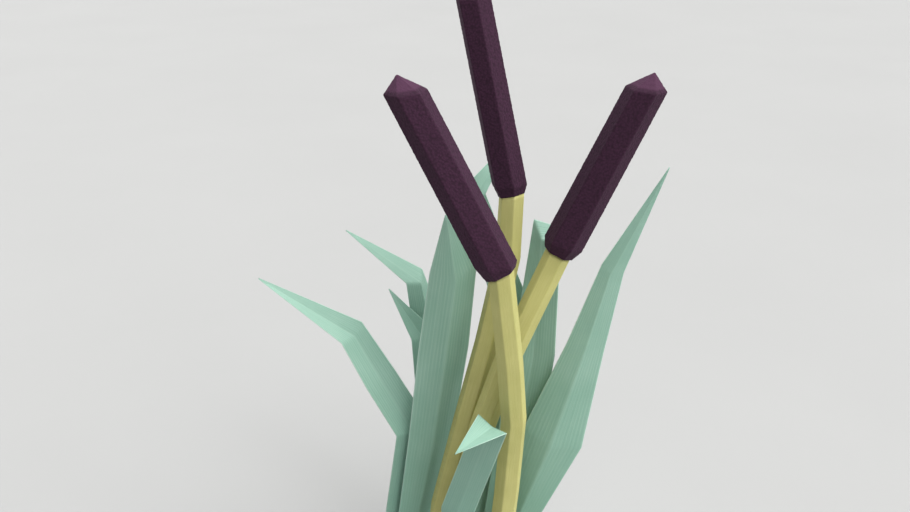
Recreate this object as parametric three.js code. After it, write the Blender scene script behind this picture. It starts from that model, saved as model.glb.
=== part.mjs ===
// A clump of broadleaf cattail cut off flat at the ground: three flower stalks, each a stem with its
// velvety seed head, and eight sword leaves that rise round them.
// Millimetres, +Z up. The ground is z = 0, and the origin is the middle of the flat cut of stem_right.
import * as THREE from "three";
import { mergeVertices } from "three/addons/utils/BufferGeometryUtils.js";

// Stems: six-sided, thicker at the cut end than under the head. Radii are to a corner.
const STEM_BASE_RADIUS = 10;
const STEM_TOP_RADIUS = 9;
// Heads: six-sided spikes that taper in to the stem at the foot and end in a low point.
const HEAD_FOOT_RADIUS = 10.2;
const HEAD_BASE_RADIUS = 13.4;
const HEAD_TOP_RADIUS = 13;
const HEAD_POINT_RADIUS = 0.5;
const HEAD_TAPER_HEIGHT = 7.5;
const HEAD_TIP_HEIGHT = 11;
// The gap that keeps a head's foot clear of its stem's end.
const JOINT_GAP = 0.3;
// Leaves: a folded blade, thick and spongy at the foot and thin at the tip.
const LEAF_FOOT_THICKNESS = 4.2;
const LEAF_TIP_THICKNESS = 1.4;
const LEAF_EDGE_SHARE = 0.3;
const LEAF_FOLD_SHARE = 0.14;
const LEAF_POINT_SCALE = 0.04;

const SIDES = 6;
const UP = new THREE.Vector3(0, 0, 1);

// Each stem runs through its points from the cut end to the foot of its head. Girth scales the radii of the
// head. Turn is the compass turn, in degrees from +X, of one of the stalk's six corners. Level is how far
// the head's base ring and top ring are turned from square to the head towards the horizontal.
const STALKS = {
  front: {
    stem: [[23, -12, 0], [32, -17, 120], [35, -23, 189], [31, -28, 237], [23, -37, 308]],
    headTop: [-35.5, -18, 419.5],
    girth: 1.05,
    turn: 312,
    level: [2.6, 3.7],
  },
  tall: {
    stem: [[-23, 4, 0], [-15.5, 7.5, 86], [1, 9, 161], [17, 11, 230], [30, 12, 298], [31.5, 14, 341.5]],
    headTop: [5.5, 40, 464.5],
    girth: 0.92,
    turn: 281,
    level: [2, 2.5],
  },
  right: {
    stem: [[0, 0, 0], [-2, -8, 100], [14, -8, 173], [33, -4, 233], [63, 3, 304]],
    headTop: [113.5, 10, 414],
    girth: 1.03,
    turn: 285,
    level: [0.2, 3],
  },
};

// Each leaf runs through its spine points, and its last point is the tip. Widths belong to the points
// before the tip. Facing is the compass turn, in degrees from +X, of the side that the fold stands out on.
// Crease is how far the fold hangs below the two edges where the blade bends.
const LEAVES = {
  far_left: {
    spine: [[-42, 11, 0], [-50, 18, 71], [-38, 22, 147], [-62, 28, 189], [-83, 38, 223], [-152, 54, 260]],
    widths: [22, 25, 28, 26, 24],
    facing: [120, 115, 115, 125, 142],
    crease: 4,
  },
  tall_left: {
    spine: [[-31, 14, 0], [-38, 17, 72], [-24, 21, 142], [-14, 20, 221], [-7, 16, 287], [-12, 8, 330]],
    widths: [24, 29, 38, 39, 35],
    facing: [300, 300, 295, 290, 290],
    crease: 9,
  },
  back_left: {
    spine: [[-5, 32, 0], [-16, 48, 124], [-24, 50, 209], [-36, 52, 263], [-86, 61, 296]],
    widths: [20, 29, 26, 18],
    facing: [275, 278, 283, 318],
    crease: 7,
  },
  small_left: {
    spine: [[-21, 24, 0], [-25, 37, 130], [-25, 37.5, 179], [-31, 38, 222], [-54, 37, 260]],
    widths: [13, 25, 24, 18],
    facing: [110, 110, 110, 120],
    crease: 5,
  },
  back_middle: {
    spine: [[-1, 18, 0], [14, 26, 64], [25, 36, 124], [42, 51, 221], [7, 53, 329], [35, 84, 358]],
    widths: [22, 30, 32, 30, 18],
    facing: [95, 90, 90, 95, 95],
    crease: 6,
  },
  back_right: {
    spine: [[19, 13, 0], [43, 28, 133], [53, 34, 210], [60, 46, 301], [90, 62, 291]],
    widths: [22, 33, 32, 27],
    facing: [75, 80, 75, 60],
    crease: 6,
  },
  broad_right: {
    spine: [[38, -3, 0], [45, 8, 80], [68, 14, 146], [89, 22, 219], [106, 30, 280], [141, 40, 352]],
    widths: [24, 30, 46, 28, 17],
    facing: [225, 245, 257, 262, 262],
    crease: 6,
  },
  short_front: {
    spine: [[-7, -21, 0], [-5, -31, 112], [19, -42, 198], [-6, -76, 199]],
    widths: [22, 24, 24],
    facing: [265, 250, 235],
    crease: 4,
  },
};

const stemMaterial = () =>
  new THREE.MeshStandardMaterial({ color: 0xb4b06c, roughness: 0.6, metalness: 0 });
const headMaterial = () =>
  new THREE.MeshStandardMaterial({ color: 0x4c3046, roughness: 0.95, metalness: 0 });
const leafMaterial = () =>
  new THREE.MeshStandardMaterial({ color: 0x86aa98, roughness: 0.65, metalness: 0 });

const vector = (point) => new THREE.Vector3(...point);

const directionFrom = (from, to) => to.clone().sub(from).normalize();

// The direction along a spine at each of its points: straight up at the foot, so that the cut is level,
// and elsewhere the mean of the two stretches that meet there. Beyond is what follows the last point.
function directionsAlong(points, beyond = null) {
  return points.map((point, i) => {
    if (i === 0) return UP.clone();
    const before = directionFrom(points[i - 1], point);
    const next = points[i + 1];
    if (!next) return beyond ? directionFrom(point, beyond) : before;
    return directionFrom(point, next).add(before).normalize();
  });
}

// A closed six-sided solid through the given rings, each of six points and a middle for the end caps.
// The points go round in the order that CylinderGeometry's own do.
function sixSidedSolid(rings) {
  const stretches = rings.length - 1;
  const geometry = new THREE.CylinderGeometry(1, 1, stretches, SIDES, stretches);
  geometry.deleteAttribute("normal");
  geometry.deleteAttribute("uv");
  const place = geometry.getAttribute("position");
  for (let i = 0; i < place.count; i++) {
    const ring = rings[Math.round(place.getY(i) + stretches / 2)];
    const onAxis = Math.hypot(place.getX(i), place.getZ(i)) < 0.5;
    const turn = Math.atan2(place.getX(i), place.getZ(i)) / (2 * Math.PI);
    const corner = (Math.round(turn * SIDES) + SIDES) % SIDES;
    const to = onAxis ? ring.middle : ring.corners[corner];
    place.setXYZ(i, to.x, to.y, to.z);
  }
  return mergeVertices(geometry, 1e-3);
}

// The two directions across a ring: side, to the right of the facing direction seen from outside, and out.
function ringAxes(direction, facingDegrees) {
  const turn = THREE.MathUtils.degToRad(facingDegrees);
  const facing = new THREE.Vector3(Math.cos(turn), Math.sin(turn), 0);
  const side = direction.clone().cross(facing).normalize();
  return { side, out: side.clone().cross(direction) };
}

function regularRing(middle, direction, radius, facingDegrees) {
  const { side, out } = ringAxes(direction, facingDegrees);
  const corners = Array.from({ length: SIDES }, (_, k) => {
    const turn = (k * 2 * Math.PI) / SIDES;
    return middle
      .clone()
      .addScaledVector(side, radius * Math.sin(turn))
      .addScaledVector(out, radius * Math.cos(turn));
  });
  return { middle, corners };
}

// A stem's last ring lies square to its head, so that the two meet face to face.
function stemGeometry({ stem, headTop, turn }) {
  const points = stem.map(vector);
  const directions = directionsAlong(points, vector(headTop));
  const top = points.at(-1).z;
  return sixSidedSolid(
    points.map((point, i) => {
      const radius = THREE.MathUtils.lerp(STEM_BASE_RADIUS, STEM_TOP_RADIUS, point.z / top);
      return regularRing(point, directions[i], radius, turn);
    }),
  );
}

function headGeometry({ stem, headTop, girth, turn, level }) {
  const stemTop = vector(stem.at(-1));
  const top = vector(headTop);
  const along = directionFrom(stemTop, top);
  const foot = stemTop.clone().addScaledVector(along, JOINT_GAP);
  const base = foot.clone().addScaledVector(along, HEAD_TAPER_HEIGHT);
  const tip = top.clone().addScaledVector(along, HEAD_TIP_HEIGHT);
  const [baseSquare, topSquare] = level.map((share) => along.clone().addScaledVector(UP, share).normalize());
  return sixSidedSolid([
    regularRing(foot, along, HEAD_FOOT_RADIUS * girth, turn),
    regularRing(base, baseSquare, HEAD_BASE_RADIUS * girth, turn),
    regularRing(top, topSquare, HEAD_TOP_RADIUS * girth, turn),
    regularRing(tip, along, HEAD_POINT_RADIUS, turn),
  ]);
}

// One leaf section, a shallow chevron of even thickness with blunt edges.
function leafRing(middle, direction, width, thickness, facingDegrees, crease) {
  const { side, out } = ringAxes(direction, facingDegrees);
  const fold = width * LEAF_FOLD_SHARE;
  const at = (across, outward, along) =>
    middle
      .clone()
      .addScaledVector(side, across)
      .addScaledVector(out, outward)
      .addScaledVector(direction, along);
  const edge = thickness * LEAF_EDGE_SHARE;
  const half = width / 2;
  return {
    middle: at(0, fold - thickness / 2, -crease),
    corners: [
      at(0, fold, -crease),
      at(half, 0, 0),
      at(half, -edge, 0),
      at(0, fold - thickness, -crease),
      at(-half, -edge, 0),
      at(-half, 0, 0),
    ],
  };
}

function leafGeometry({ spine, widths, facing, crease }) {
  const points = spine.map(vector);
  const directions = directionsAlong(points);
  const last = points.length - 1;
  return sixSidedSolid(
    points.map((point, i) => {
      const isTip = i === last;
      const thickness = THREE.MathUtils.lerp(LEAF_FOOT_THICKNESS, LEAF_TIP_THICKNESS, i / last);
      return leafRing(
        point,
        directions[i],
        isTip ? widths[last - 1] * LEAF_POINT_SCALE : widths[i],
        isTip ? thickness / 4 : thickness,
        facing[Math.min(i, last - 1)],
        isTip || i === 0 ? 0 : crease,
      );
    }),
  );
}

function named(name, geometry, material) {
  const mesh = new THREE.Mesh(geometry, material);
  mesh.name = name;
  return mesh;
}

const cattail = new THREE.Group();
for (const [name, stalk] of Object.entries(STALKS)) {
  cattail.add(named(`stem_${name}`, stemGeometry(stalk), stemMaterial()));
  cattail.add(named(`head_${name}`, headGeometry(stalk), headMaterial()));
}
for (const [name, leaf] of Object.entries(LEAVES))
  cattail.add(named(`leaf_${name}`, leafGeometry(leaf), leafMaterial()));

export default cattail;
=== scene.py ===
"""A clump of cattail: three stems with dark, velvety seed heads stand among eight folded leaves."""

import math
import random

import bmesh
import bpy
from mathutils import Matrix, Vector


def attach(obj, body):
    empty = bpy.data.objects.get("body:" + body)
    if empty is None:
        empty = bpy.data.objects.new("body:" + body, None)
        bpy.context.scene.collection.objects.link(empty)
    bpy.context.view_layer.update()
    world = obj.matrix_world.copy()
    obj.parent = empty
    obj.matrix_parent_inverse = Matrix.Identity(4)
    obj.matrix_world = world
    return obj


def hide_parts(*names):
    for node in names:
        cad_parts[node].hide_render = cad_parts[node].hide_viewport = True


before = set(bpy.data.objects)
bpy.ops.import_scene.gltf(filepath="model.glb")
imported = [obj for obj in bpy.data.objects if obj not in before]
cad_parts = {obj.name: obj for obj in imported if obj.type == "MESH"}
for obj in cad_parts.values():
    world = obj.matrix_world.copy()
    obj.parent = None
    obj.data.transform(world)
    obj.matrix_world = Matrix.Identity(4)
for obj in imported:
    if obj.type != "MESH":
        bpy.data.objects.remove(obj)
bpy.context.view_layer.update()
random.seed(7)


# Stems
# Three pithy flower stems, half dry, each grown as one six-sided shaft with fine fibres along its rind.
# Each is cut off flat at the ground and carries its seed head on its upper end.

MILLIMETRE = 0.001
SAME_PLACE = 0.005 * MILLIMETRE
SAME_WAY = 0.9999
LENGTH_DIGITS = 5
CORNERS = 6
CUT_CREASE = 1.0
GRID_LAYERS = ("across", "along", "side_width")
RIB_HEIGHTS = (0.5, 1.4)
STEM_FIBRES = 5
STEM_STEP = 5 * MILLIMETRE
STEM_RELIEF = 0.035
STEM_BEND_CREASE = 0.5


def pick_only(piece):
    bpy.ops.object.select_all(action="DESELECT")
    piece.select_set(True)
    bpy.context.view_layer.objects.active = piece


def welded_copy(node, name):
    """A new object with a copy of a CAD node's mesh, its loose triangles joined edge to edge. It is left
    in edit mode."""
    piece = bpy.data.objects.new(name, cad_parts[node].data.copy())
    bpy.context.collection.objects.link(piece)
    piece.data.materials.clear()
    pick_only(piece)
    bpy.ops.mesh.customdata_custom_splitnormals_clear()
    bpy.ops.object.mode_set(mode="EDIT")
    bpy.ops.mesh.select_all(action="SELECT")
    bpy.ops.mesh.remove_doubles(threshold=SAME_PLACE)
    bpy.ops.mesh.select_all(action="DESELECT")
    return piece


def rings_from_foot(shape):
    """The ring of each vertex: 0 is the middle of the foot, 1 the corners round it, and so on up."""
    shape.normal_update()
    middles = [
        vertex
        for vertex in shape.verts
        if all(face.normal.dot(vertex.normal) > SAME_WAY for face in vertex.link_faces)
    ]
    foot = min(middles, key=lambda vertex: vertex.co.z)
    ring = {foot: 0}
    reached = [foot]
    for vertex in reached:
        for edge in vertex.link_edges:
            other = edge.other_vert(vertex)
            if other not in ring:
                ring[other] = ring[vertex] + 1
                reached.append(other)
    return ring


def join_triangle_pairs(shape, ring):
    """Makes each side face one quad. The diagonal leaves the lone lower corner of an upper triangle."""
    diagonals = []
    for face in shape.faces:
        low, middle, _ = sorted(ring[vertex] for vertex in face.verts)
        if 0 < low < middle:
            lone_corner = min(face.loops, key=lambda loop: ring[loop.vert])
            diagonals.append(lone_corner.edge)
    bmesh.ops.dissolve_edges(shape, edges=diagonals, use_verts=False)


def number_corners(ring):
    """Numbers the corners of every ring from 0 to 5, the same way round all the way up. Where two sides
    of the ring are narrow, as a leaf's margins are, corner 0 is between two wide sides."""

    def ring_sides(vertex):
        return [edge for edge in vertex.link_edges if ring[edge.other_vert(vertex)] == ring[vertex]]

    def narrower_side(vertex):
        return min(round(edge.calc_length(), LENGTH_DIGITS) for edge in ring_sides(vertex))

    vertex = max((vertex for vertex in ring if ring[vertex] == 1), key=narrower_side)
    corner = {vertex: 0}
    for number in range(1, CORNERS):
        others = (edge.other_vert(vertex) for edge in ring_sides(vertex))
        vertex = next(other for other in others if other not in corner)
        corner[vertex] = number
    top = max(ring.values())
    for vertex in sorted(ring, key=ring.get):
        if 1 < ring[vertex] < top:
            others = (edge.other_vert(vertex) for edge in vertex.link_edges)
            below = next(other for other in others if ring[other] == ring[vertex] - 1)
            corner[vertex] = corner[below]
    return corner


def ring_middles(ring, corner):
    """The middle of each ring of corners, from the foot up."""
    top = max(ring.values())
    middles = []
    for number in range(1, top):
        places = [vertex.co for vertex in corner if ring[vertex] == number]
        middles.append(sum(places, Vector()) / CORNERS)
    return middles


def cut_edges(piece, chosen, cuts):
    """Cuts every chosen edge of the piece into equal parts, and the faces between them with it."""
    shape = bmesh.from_edit_mesh(piece.data)
    for face in shape.faces:
        face.select_set(False)
    for edge in shape.edges:
        edge.select_set(chosen(shape, edge))
    bmesh.update_edit_mesh(piece.data)
    bpy.ops.mesh.subdivide(number_cuts=cuts)


def runs_across(shape, edge):
    """True for an edge of a ring that crosses a side. An edge over a leaf's narrow margin doesn't."""
    across = shape.verts.layers.float["across"]
    crease = shape.edges.layers.float["crease_edge"]
    first, second = edge.verts
    return edge[crease] > 0 and first[across] != second[across]


def gridded_copy(node, name, across_of, columns, step, bend_crease):
    """A copy of a CAD node cut into a fine grid, still in edit mode. Its vertices carry how far they are
    across their side from 0 to 1, how far along the piece they are, and how wide the side is there."""
    piece = welded_copy(node, name)
    shape = bmesh.from_edit_mesh(piece.data)
    across, along, width = (shape.verts.layers.float.new(layer) for layer in GRID_LAYERS)
    crease = shape.edges.layers.float.new("crease_edge")
    ring = rings_from_foot(shape)
    join_triangle_pairs(shape, ring)
    corner = number_corners(ring)
    middles = ring_middles(ring, corner)
    reach = [0.0]
    for here, there in zip(middles, middles[1:]):
        reach.append(reach[-1] + (there - here).length)

    last = len(middles)
    for vertex, number in ring.items():
        place = min(max(number, 1), last) - 1
        vertex[along] = reach[place]
        if vertex in corner:
            vertex[across] = across_of[corner[vertex]]
        corners_here = [other.co for other in corner if ring[other] == place + 1]
        vertex[width] = max((there - middles[place]).length for there in corners_here)
    for edge in shape.edges:
        first, second = (ring[vertex] for vertex in edge.verts)
        if first == second:
            edge[crease] = CUT_CREASE if first in (1, last) else bend_crease
    bmesh.update_edit_mesh(piece.data)

    cut_edges(piece, runs_across, columns - 1)
    for lower, upper in zip(reach, reach[1:]):

        def runs_along(shape, edge):
            layer = shape.verts.layers.float["along"]
            first, second = (vertex[layer] for vertex in edge.verts)
            return abs(first - second) > SAME_PLACE and lower < (first + second) / 2 < upper

        cut_edges(piece, runs_along, max(1, round((upper - lower) / step) - 1))
    return piece


def raise_ribs(piece, columns, relief):
    """Raises every other line of the grid, so that the sides carry fine ribs from foot to tip."""
    shape = bmesh.from_edit_mesh(piece.data)
    shape.normal_update()
    across = shape.verts.layers.float["across"]
    width = shape.verts.layers.float["side_width"]
    lift = [relief * random.uniform(*RIB_HEIGHTS) if line % 2 else 0 for line in range(columns + 1)]
    moves = []
    for vertex in shape.verts:
        line = round(vertex[across] * columns)
        moves.append((vertex, vertex.normal * lift[line] * vertex[width] * 2 / columns))
    for vertex, move in moves:
        vertex.co += move
    bmesh.update_edit_mesh(piece.data)


def round_off(piece, levels):
    """Softens the arrises of a gridded piece and leaves it finished, in object mode."""
    bpy.ops.object.mode_set(mode="OBJECT")
    rounding = piece.modifiers.new("rounding", "SUBSURF")
    rounding.levels = levels
    rounding.render_levels = levels
    bpy.ops.object.modifier_apply(modifier=rounding.name)
    bpy.ops.object.shade_smooth()


def belongs(piece, node, material):
    """Gives a piece its material and puts it in the place of its CAD node."""
    piece.data.materials.append(material)
    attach(piece, "root")
    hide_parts(node)


def add_node(tree, kind, inputs=None, **settings):
    """A shader node with its settings made. Each input is a value, or a socket that feeds it."""
    node = tree.nodes.new(kind)
    for name, value in settings.items():
        setattr(node, name, value)
    for name, value in (inputs or {}).items():
        if isinstance(value, bpy.types.NodeSocket):
            tree.links.new(value, node.inputs[name])
        else:
            node.inputs[name].default_value = value
    return node


def math_node(tree, operation, first, second=0.0):
    return add_node(tree, "ShaderNodeMath", {0: first, 1: second}, operation=operation).outputs[0]


def attribute(tree, name):
    return add_node(tree, "ShaderNodeAttribute", attribute_name=name).outputs["Fac"]


def object_place(tree):
    return add_node(tree, "ShaderNodeTexCoord").outputs["Object"]


def axis_of(tree, place, axis):
    return add_node(tree, "ShaderNodeSeparateXYZ", {"Vector": place}).outputs[axis]


def noise(tree, place, scale, detail=3.0):
    inputs = {"Vector": place, "Scale": scale, "Detail": detail, "Roughness": 0.55}
    return add_node(tree, "ShaderNodeTexNoise", inputs).outputs["Fac"]


def fitted(tree, value, low, high, to_low=0.0, to_high=1.0):
    """A value refitted from one range to another, and held inside it."""
    inputs = {"Value": value, "From Min": low, "From Max": high, "To Min": to_low, "To Max": to_high}
    return add_node(tree, "ShaderNodeMapRange", inputs).outputs["Result"]


def share(tree, mask, most):
    """A mask from 0 to 1 weakened, so that it goes no higher than its most."""
    return fitted(tree, mask, 0, 1, 0, most)


def mixed(tree, amount, first, second):
    """Two colours mixed by an amount from 0 to 1."""
    node = tree.nodes.new("ShaderNodeMix")
    node.data_type = "RGBA"
    colour_sockets = {socket.name: socket for socket in node.inputs if socket.type == "RGBA"}
    tree.links.new(amount, node.inputs[0])
    for name, value in (("A", first), ("B", second)):
        if isinstance(value, bpy.types.NodeSocket):
            tree.links.new(value, colour_sockets[name])
        else:
            colour_sockets[name].default_value = value
    return next(socket for socket in node.outputs if socket.type == "RGBA")


def new_group(name, inputs, outputs):
    """A shader node group with number sockets, and its input and output nodes."""
    tree = bpy.data.node_groups.new(name, "ShaderNodeTree")
    for label in inputs:
        tree.interface.new_socket(label, in_out="INPUT", socket_type="NodeSocketFloat")
    for label in outputs:
        tree.interface.new_socket(label, in_out="OUTPUT", socket_type="NodeSocketFloat")
    return tree, tree.nodes.new("NodeGroupInput").outputs, tree.nodes.new("NodeGroupOutput").inputs


STREAK_DRIFT = 20.0
FINE_STREAKS_TIMES = 3.3
GRAIN_TIMES = 9.0
# The middle part of a noise's range, which is spread out to run from 0 to 1.
NOISE_SPREAD = (0.3, 0.7)
BLOTCH_SPREAD = (0.35, 0.65)


def make_fibre_group():
    """Fine streaks that run along a piece. Count is streaks across a side, Length their length."""
    tree, given, result = new_group("fibres", ["Count", "Length"], ["Streaks", "Fine"])
    side = math_node(tree, "MULTIPLY", attribute(tree, "across"), given["Count"])
    run = math_node(tree, "DIVIDE", attribute(tree, "along"), given["Length"])
    drift = math_node(tree, "MULTIPLY", axis_of(tree, object_place(tree), "X"), STREAK_DRIFT)
    streak_place = add_node(tree, "ShaderNodeCombineXYZ", {"X": side, "Y": run, "Z": drift}).outputs[0]
    streaks = noise(tree, streak_place, 1.0)
    fine_streaks = noise(tree, streak_place, FINE_STREAKS_TIMES)
    tree.links.new(fitted(tree, streaks, *NOISE_SPREAD), result["Streaks"])
    tree.links.new(fitted(tree, fine_streaks, *NOISE_SPREAD), result["Fine"])
    return tree


def make_mottle_group():
    """Soft blotches that are the same size on every piece. Size is in metres."""
    tree, given, result = new_group("mottle", ["Size"], ["Blotches", "Grain"])
    scale = math_node(tree, "DIVIDE", 1.0, given["Size"])
    place = object_place(tree)
    blotches = noise(tree, place, scale, detail=2.0)
    grain = noise(tree, place, math_node(tree, "MULTIPLY", scale, GRAIN_TIMES), detail=4.0)
    tree.links.new(fitted(tree, blotches, *BLOTCH_SPREAD), result["Blotches"])
    tree.links.new(fitted(tree, grain, *NOISE_SPREAD), result["Grain"])
    return tree


fibre_group = make_fibre_group()
mottle_group = make_mottle_group()


def placed_group(tree, group, **inputs):
    node = tree.nodes.new("ShaderNodeGroup")
    node.node_tree = group
    for name, value in inputs.items():
        node.inputs[name].default_value = value
    return node.outputs


def new_material(name):
    """A new material, its node tree and its Principled shader."""
    material = bpy.data.materials.new(name)
    material.use_nodes = True
    return material, material.node_tree, material.node_tree.nodes["Principled BSDF"]


def bumped(tree, shader, height, distance):
    bump = add_node(tree, "ShaderNodeBump", {"Height": height, "Distance": distance, "Strength": 1.0})
    tree.links.new(bump.outputs["Normal"], shader.inputs["Normal"])


STEM_COLOUR = (0.48, 0.455, 0.155, 1)
STEM_PALE = (0.57, 0.54, 0.235, 1)
STEM_DULL = (0.40, 0.385, 0.125, 1)
STEM_STREAKS = 14.0
STEM_STREAK_LENGTH = 0.035
STEM_STREAK_SHARE = 0.55
STEM_BLOTCH_SIZE = 0.03
STEM_BLOTCH_SHARE = 0.5
STEM_FLECK_START = 0.6
STEM_FLECK_SHARE = 0.35
STEM_ROUGHNESS = (0.48, 0.68)
STEM_GRAIN_SHARE = 0.4
STEM_GRAIN_DEPTH = 0.12 * MILLIMETRE


def make_stem_rind():
    material, tree, shader = new_material("stem_rind")
    fibres = placed_group(tree, fibre_group, Count=STEM_STREAKS, Length=STEM_STREAK_LENGTH)
    mottle = placed_group(tree, mottle_group, Size=STEM_BLOTCH_SIZE)
    streaked = mixed(tree, share(tree, fibres["Streaks"], STEM_STREAK_SHARE), STEM_COLOUR, STEM_PALE)
    worn = mixed(tree, share(tree, mottle["Blotches"], STEM_BLOTCH_SHARE), streaked, STEM_DULL)
    flecks = fitted(tree, fibres["Fine"], STEM_FLECK_START, 1.0, 0, STEM_FLECK_SHARE)
    flecked = mixed(tree, flecks, worn, STEM_DULL)
    tree.links.new(flecked, shader.inputs["Base Color"])
    tree.links.new(fitted(tree, fibres["Fine"], 0, 1, *STEM_ROUGHNESS), shader.inputs["Roughness"])
    shader.inputs["Specular IOR Level"].default_value = 0.35
    grain = math_node(tree, "MULTIPLY", mottle["Grain"], STEM_GRAIN_SHARE)
    bumped(tree, shader, math_node(tree, "ADD", fibres["Fine"], grain), STEM_GRAIN_DEPTH)
    return material


stem_rind = make_stem_rind()
BETWEEN_ARRISES = (0, 1, 0, 1, 0, 1)
STEM_COLUMNS = 2 * STEM_FIBRES
for stalk in ("front", "tall", "right"):
    stem = gridded_copy(
        f"stem_{stalk}", f"{stalk}_stem", BETWEEN_ARRISES, STEM_COLUMNS, STEM_STEP, STEM_BEND_CREASE
    )
    raise_ribs(stem, STEM_COLUMNS, STEM_RELIEF)
    round_off(stem, 1)
    belongs(stem, f"stem_{stalk}", stem_rind)


# Seed heads
# Each is a dense spike of thousands of packed florets round the end of its stem, six-sided with a low
# point on top and a short taper in to the stem. Its surface is a dark velvet of floret tips.

FLORET_SIZE = 1.35 * MILLIMETRE
FLORET_HEIGHT = 0.32 * MILLIMETRE
FLORET_MIDDLE = 0.45
HEAD_COLUMNS = 10
HEAD_STEP = 1.5 * MILLIMETRE
HEAD_RIM_CREASE = 0.3
HEAD_BLOTCH_SIZE = 0.018
HEAD_BLOTCH_SHARE = 0.25
HEAD_GRAIN_SCALE = 2600.0
HEAD_GRAIN_DEPTH = 0.1 * MILLIMETRE
# Painted shade: the darkest colour darkens the floret roots between the bumps, and it also colours the
# random blotches.
FLORET_SHADE_AND_BLOTCH_COLOUR = (0.026, 0.0090, 0.020, 1)
FLORET_COLOUR = (0.038, 0.0125, 0.0295, 1)
# Painted light: the tips of the florets are made lighter.
FLORET_TIP_LIGHT_COLOUR = (0.056, 0.0200, 0.043, 1)
FLORET_TIP_LIGHT_SHARE = 0.55
# Where in the pile, in floret heights from its middle, the roots, the sides and the tips of florets are.
PILE_ROOT = -0.35
PILE_SIDE = 0.05
PILE_TIP = 0.45
# The point on top begins this far up a head, and where it has got narrow it gets painted light.
POINT_START = 0.1
POINT_BROAD = 11.6 * MILLIMETRE
POINT_NARROW = 10.2 * MILLIMETRE
POINT_PAINTED_LIGHT_COLOUR = (0.080, 0.030, 0.063, 1)
POINT_PAINTED_LIGHT_SHARE = 0.6


def grow_florets(piece):
    """Swells the surface into packed bumps and keeps how high each vertex stands as the pile."""
    before = [vertex.co.copy() for vertex in piece.data.vertices]
    normals = [vertex.normal.copy() for vertex in piece.data.vertices]
    cells = bpy.data.textures.new("florets", "VORONOI")
    cells.noise_scale = FLORET_SIZE
    cells.distance_metric = "DISTANCE"
    swell = piece.modifiers.new("swell", "DISPLACE")
    swell.texture = cells
    swell.texture_coords = "LOCAL"
    swell.mid_level = FLORET_MIDDLE
    swell.strength = -FLORET_HEIGHT
    bpy.ops.object.modifier_apply(modifier=swell.name)
    pile = piece.data.attributes.new("pile", "FLOAT", "POINT")
    for number, vertex in enumerate(piece.data.vertices):
        pile.data[number].value = (vertex.co - before[number]).dot(normals[number]) / FLORET_HEIGHT


def make_floret_velvet():
    material, tree, shader = new_material("floret_velvet")
    mottle = placed_group(tree, mottle_group, Size=HEAD_BLOTCH_SIZE)
    pile = attribute(tree, "pile")
    # Painted shade at the floret roots and painted light on their tips, by how high each vertex stands.
    lower = mixed(tree, fitted(tree, pile, PILE_ROOT, PILE_SIDE), FLORET_SHADE_AND_BLOTCH_COLOUR, FLORET_COLOUR)
    is_lit_tip = fitted(tree, pile, PILE_SIDE, PILE_TIP, 0, FLORET_TIP_LIGHT_SHARE)
    upper = mixed(tree, is_lit_tip, lower, FLORET_TIP_LIGHT_COLOUR)
    blotched = mixed(tree, share(tree, mottle["Blotches"], HEAD_BLOTCH_SHARE), upper, FLORET_SHADE_AND_BLOTCH_COLOUR)
    # Painted light: the narrow point on top of each head is made lighter.
    is_narrow = fitted(tree, attribute(tree, "side_width"), POINT_BROAD, POINT_NARROW)
    is_high = fitted(tree, attribute(tree, "along"), POINT_START, POINT_START + MILLIMETRE)
    is_lit_point = share(tree, math_node(tree, "MULTIPLY", is_narrow, is_high), POINT_PAINTED_LIGHT_SHARE)
    point_lit = mixed(tree, is_lit_point, blotched, POINT_PAINTED_LIGHT_COLOUR)
    tree.links.new(point_lit, shader.inputs["Base Color"])
    shader.inputs["Roughness"].default_value = 0.9
    shader.inputs["Specular IOR Level"].default_value = 0.2
    shader.inputs["Sheen Weight"].default_value = 0.06
    shader.inputs["Sheen Roughness"].default_value = 0.45
    shader.inputs["Sheen Tint"].default_value = (0.75, 0.5, 0.7, 1)
    bumped(tree, shader, noise(tree, object_place(tree), HEAD_GRAIN_SCALE), HEAD_GRAIN_DEPTH)
    return material


floret_velvet = make_floret_velvet()
for stalk in ("front", "tall", "right"):
    head = gridded_copy(
        f"head_{stalk}", f"{stalk}_seed_head", BETWEEN_ARRISES, HEAD_COLUMNS, HEAD_STEP, HEAD_RIM_CREASE
    )
    round_off(head, 2)
    grow_florets(head)
    belongs(head, f"head_{stalk}", floret_velvet)


# Leaves
# Eight firm sword blades that rise from the ground round the stems, each folded along its keel. They are
# spongy and thick at the foot, thin at the tip, and ribbed by parallel veins. Some have bent tips.

VEINS = 8
LEAF_STEP = 4.5 * MILLIMETRE
LEAF_RELIEF = 0.075
LEAF_BEND_CREASE = 0.6
LEAF_COLOUR = (0.262, 0.425, 0.340, 1)
LEAF_STREAKS = 22.0
LEAF_STREAK_LENGTH = 0.05
LEAF_STREAK_SHARE = 0.6
LEAF_VEIN_COLOUR = (0.33, 0.50, 0.415, 1)
LEAF_VEIN_SHARE = 0.45
LEAF_VEIN_EDGE = 0.2
LEAF_BLOTCH_SIZE = 0.035
LEAF_BLOTCH_SHARE = 0.35
LEAF_MARGIN_COLOUR = (0.44, 0.60, 0.51, 1)
LEAF_MARGIN = (0.95, 0.995)
LEAF_MARGIN_SHARE = 0.8
LEAF_KEEL = (0.05, 0.0)
LEAF_KEEL_SHARE = 0.5
# Below the first height the leaves get painted shade in a deeper green, and at the second it has its whole
# share.
LEAF_DEEP_AND_SHADE_COLOUR = (0.175, 0.335, 0.255, 1)
LEAF_SHADE_HEIGHTS = (0.20, 0.09)
LEAF_SHADE_SHARE = 0.6
LEAF_FOOT_COLOUR = (0.48, 0.54, 0.36, 1)
LEAF_FOOT_HEIGHT = 0.045
LEAF_FOOT_SHARE = 0.6
LEAF_ROUGHNESS = (0.42, 0.62)
LEAF_GRAIN_SHARE = 0.5
LEAF_GRAIN_DEPTH = 0.08 * MILLIMETRE


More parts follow.
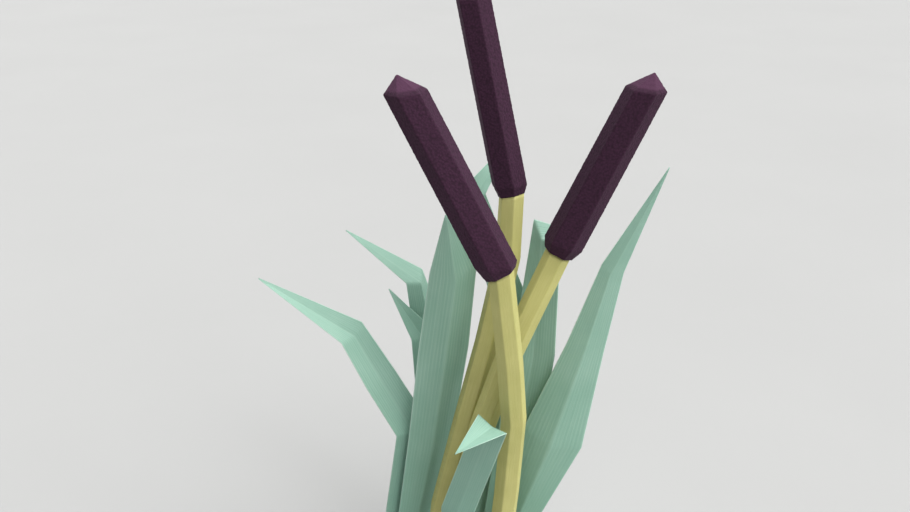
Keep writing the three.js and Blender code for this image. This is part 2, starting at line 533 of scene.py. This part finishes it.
def make_leaf_blade():
    material, tree, shader = new_material("leaf_blade")
    fibres = placed_group(tree, fibre_group, Count=LEAF_STREAKS, Length=LEAF_STREAK_LENGTH)
    mottle = placed_group(tree, mottle_group, Size=LEAF_BLOTCH_SIZE)
    across = attribute(tree, "across")
    height = axis_of(tree, object_place(tree), "Z")
    streaked = mixed(tree, share(tree, fibres["Streaks"], LEAF_STREAK_SHARE), LEAF_COLOUR, LEAF_DEEP_AND_SHADE_COLOUR)
    wave = math_node(tree, "COSINE", math_node(tree, "MULTIPLY", across, 2 * math.pi * VEINS))
    is_vein = share(tree, fitted(tree, wave, LEAF_VEIN_EDGE, -1.0), LEAF_VEIN_SHARE)
    veined = mixed(tree, is_vein, streaked, LEAF_VEIN_COLOUR)
    blotched = mixed(tree, share(tree, mottle["Blotches"], LEAF_BLOTCH_SHARE), veined, LEAF_DEEP_AND_SHADE_COLOUR)
    is_margin = fitted(tree, across, *LEAF_MARGIN, 0, LEAF_MARGIN_SHARE)
    edged = mixed(tree, is_margin, blotched, LEAF_MARGIN_COLOUR)
    is_keel = fitted(tree, across, *LEAF_KEEL, 0, LEAF_KEEL_SHARE)
    keeled = mixed(tree, is_keel, edged, LEAF_VEIN_COLOUR)
    # Painted shade: the leaves turn a deeper green low in the clump.
    is_low_shade = fitted(tree, height, *LEAF_SHADE_HEIGHTS, 0, LEAF_SHADE_SHARE)
    low_shaded = mixed(tree, is_low_shade, keeled, LEAF_DEEP_AND_SHADE_COLOUR)
    is_foot = fitted(tree, height, LEAF_FOOT_HEIGHT, 0.0, 0, LEAF_FOOT_SHARE)
    footed = mixed(tree, is_foot, low_shaded, LEAF_FOOT_COLOUR)
    tree.links.new(footed, shader.inputs["Base Color"])
    tree.links.new(fitted(tree, fibres["Fine"], 0, 1, *LEAF_ROUGHNESS), shader.inputs["Roughness"])
    shader.inputs["Specular IOR Level"].default_value = 0.35
    grain = math_node(tree, "MULTIPLY", mottle["Grain"], LEAF_GRAIN_SHARE)
    bumped(tree, shader, math_node(tree, "ADD", fibres["Fine"], grain), LEAF_GRAIN_DEPTH)
    return material


leaf_blade = make_leaf_blade()
KEEL_TO_MARGIN = (0, 1, 1, 0, 1, 1)
LEAF_COLUMNS = 2 * VEINS
LEAVES = (
    "far_left",
    "tall_left",
    "back_left",
    "small_left",
    "back_middle",
    "back_right",
    "broad_right",
    "short_front",
)
for leaf in LEAVES:
    blade = gridded_copy(
        f"leaf_{leaf}", f"{leaf}_blade", KEEL_TO_MARGIN, LEAF_COLUMNS, LEAF_STEP, LEAF_BEND_CREASE
    )
    raise_ribs(blade, LEAF_COLUMNS, LEAF_RELIEF)
    round_off(blade, 1)
    belongs(blade, f"leaf_{leaf}", leaf_blade)


# Ground
# A plain pale floor that the clump stands on by its cut ends, faintly clouded as matt paper is.
# It is not part of the object.

FLOOR_WIDTH = 60
FLOOR_COLOURS = ((0.33, 0.33, 0.325, 1), (0.35, 0.35, 0.345, 1))
FLOOR_CLOUD_SCALE = 3.0

bpy.ops.mesh.primitive_plane_add(size=FLOOR_WIDTH, location=(0, 0, 0))
floor = bpy.context.object
floor.name = "floor"
floor_paper, floor_tree, floor_shader = new_material("floor_paper")
floor_clouds = noise(floor_tree, object_place(floor_tree), FLOOR_CLOUD_SCALE)
floor_colour = mixed(floor_tree, floor_clouds, *FLOOR_COLOURS)
floor_tree.links.new(floor_colour, floor_shader.inputs["Base Color"])
floor_shader.inputs["Roughness"].default_value = 0.85
floor.data.materials.append(floor_paper)


# Light and camera
# The main light is broad and soft and stands high on the right, with a weak one in front and another
# behind. The room is pale, and the camera looks down on the clump a little from in front.

# Compass turn from +X and height above the ground in degrees, strength, and spread in degrees.
SOFT_LIGHTS = {
    "front": (-80, 25, 0.8, 70),
    "high": (-12, 55, 5.2, 70),
    "back": (140, 50, 1.9, 60),
}
# The room is pale on a level with the eye and gets dim up to this rise, where straight up is 1.
ROOM_COLOUR = (0.95, 0.97, 1.0, 1)
ROOM_DIM_RISE = 0.45
ROOM_STRENGTHS = (0.56, 0.09)
VIEW_TARGET = Vector((-0.006, 0, 0.3036))
VIEW_DISTANCE = 0.59
VIEW_DOWN = math.radians(25)
VIEW_LENS = 35.0

for name, (turn, height, strength, spread) in SOFT_LIGHTS.items():
    lamp = bpy.data.lights.new(name, "SUN")
    lamp.energy = strength
    lamp.angle = math.radians(spread)
    holder = bpy.data.objects.new(name, lamp)
    bpy.context.collection.objects.link(holder)
    holder.rotation_euler = (0, math.radians(90 - height), math.radians(turn))

room = bpy.data.worlds.new("room")
room.use_nodes = True
walls = room.node_tree.nodes["Background"]
walls.inputs["Color"].default_value = ROOM_COLOUR
room_way = add_node(room.node_tree, "ShaderNodeTexCoord").outputs["Generated"]
room_rise = axis_of(room.node_tree, room_way, "Z")
room_strength = fitted(room.node_tree, room_rise, 0.0, ROOM_DIM_RISE, *ROOM_STRENGTHS)
room.node_tree.links.new(room_strength, walls.inputs["Strength"])
bpy.context.scene.world = room
bpy.context.scene.view_settings.view_transform = "Standard"

eye = bpy.data.cameras.new("eye")
eye.lens = VIEW_LENS
camera = bpy.data.objects.new("eye", eye)
bpy.context.collection.objects.link(camera)
camera.rotation_euler = (math.pi / 2 - VIEW_DOWN, 0, 0)
view_back = Vector((0, -math.cos(VIEW_DOWN), math.sin(VIEW_DOWN)))
camera.location = VIEW_TARGET + view_back * VIEW_DISTANCE
bpy.context.scene.camera = camera
